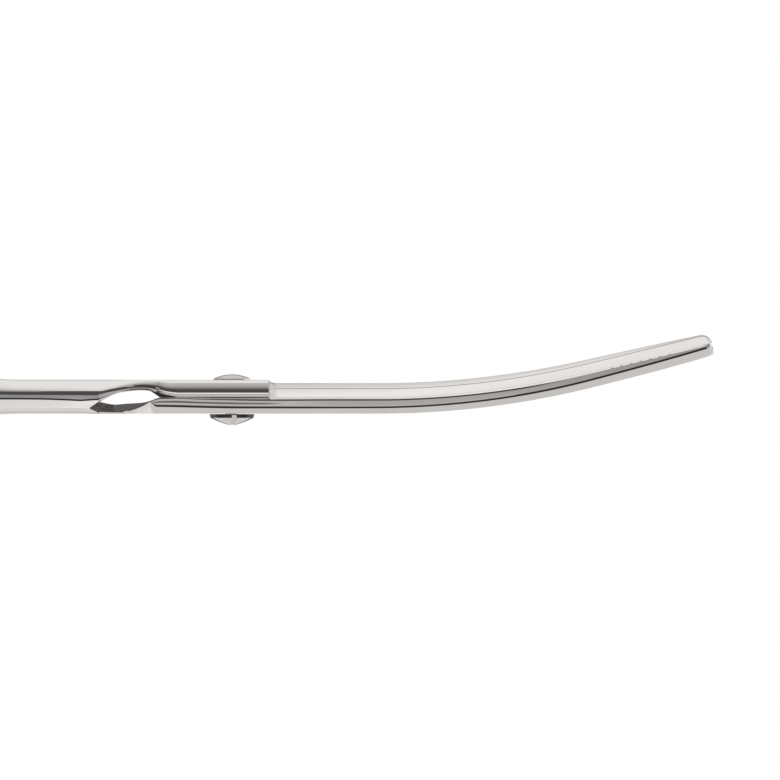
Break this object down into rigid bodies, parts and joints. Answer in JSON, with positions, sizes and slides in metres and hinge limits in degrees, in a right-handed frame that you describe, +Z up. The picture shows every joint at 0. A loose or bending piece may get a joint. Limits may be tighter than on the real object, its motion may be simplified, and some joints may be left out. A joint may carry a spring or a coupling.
{
  "type": "curved_thinning_scissors",
  "caption": "Curved thinning scissors in polished steel: plain blade over a toothed blade, closed, with finger rings, bumper and finger rest",
  "frame": {"origin": "pivot axis, on the flat underside of the toothed member", "axes": "+X runs to the blade tips, +Z is up through the dome nut, +Y is the toothed member's handle side"},
  "size_m": [0.1885, 0.0712, 0.0171],
  "materials": {
    "polished_steel_plain": "mirror polished",
    "polished_steel_comb": "mirror polished",
    "nut_steel": "polished",
    "screw_steel": "turned and polished",
    "white_washer": "smooth",
    "spring_steel": "plain",
    "bumper_rubber": "matte",
    "rest_steel": "mirror polished"
  },
  "bodies": {
    "comb_member": {"comb_blade": "polished_steel_comb", "ride_washer": "white_washer", "spring_washer": "spring_steel", "finger_rest": "rest_steel"},
    "plain_member": {"plain_blade": "polished_steel_plain", "dome_nut": "nut_steel", "bumper": "bumper_rubber"},
    "tension_screw": {"pivot_screw": "screw_steel"}
  },
  "joints": [
    {"name": "blade_pivot", "type": "hinge", "parent": "comb_member", "child": "plain_member", "pos_m": [0, 0, 0], "axis": [0, 0, 1], "range_deg": [0, 60]},
    {"name": "screw_turn", "type": "hinge", "parent": "plain_member", "child": "tension_screw", "pos_m": [0, 0, 0], "axis": [0, 0, 1], "range_deg": [-90, 90]}
  ]
}
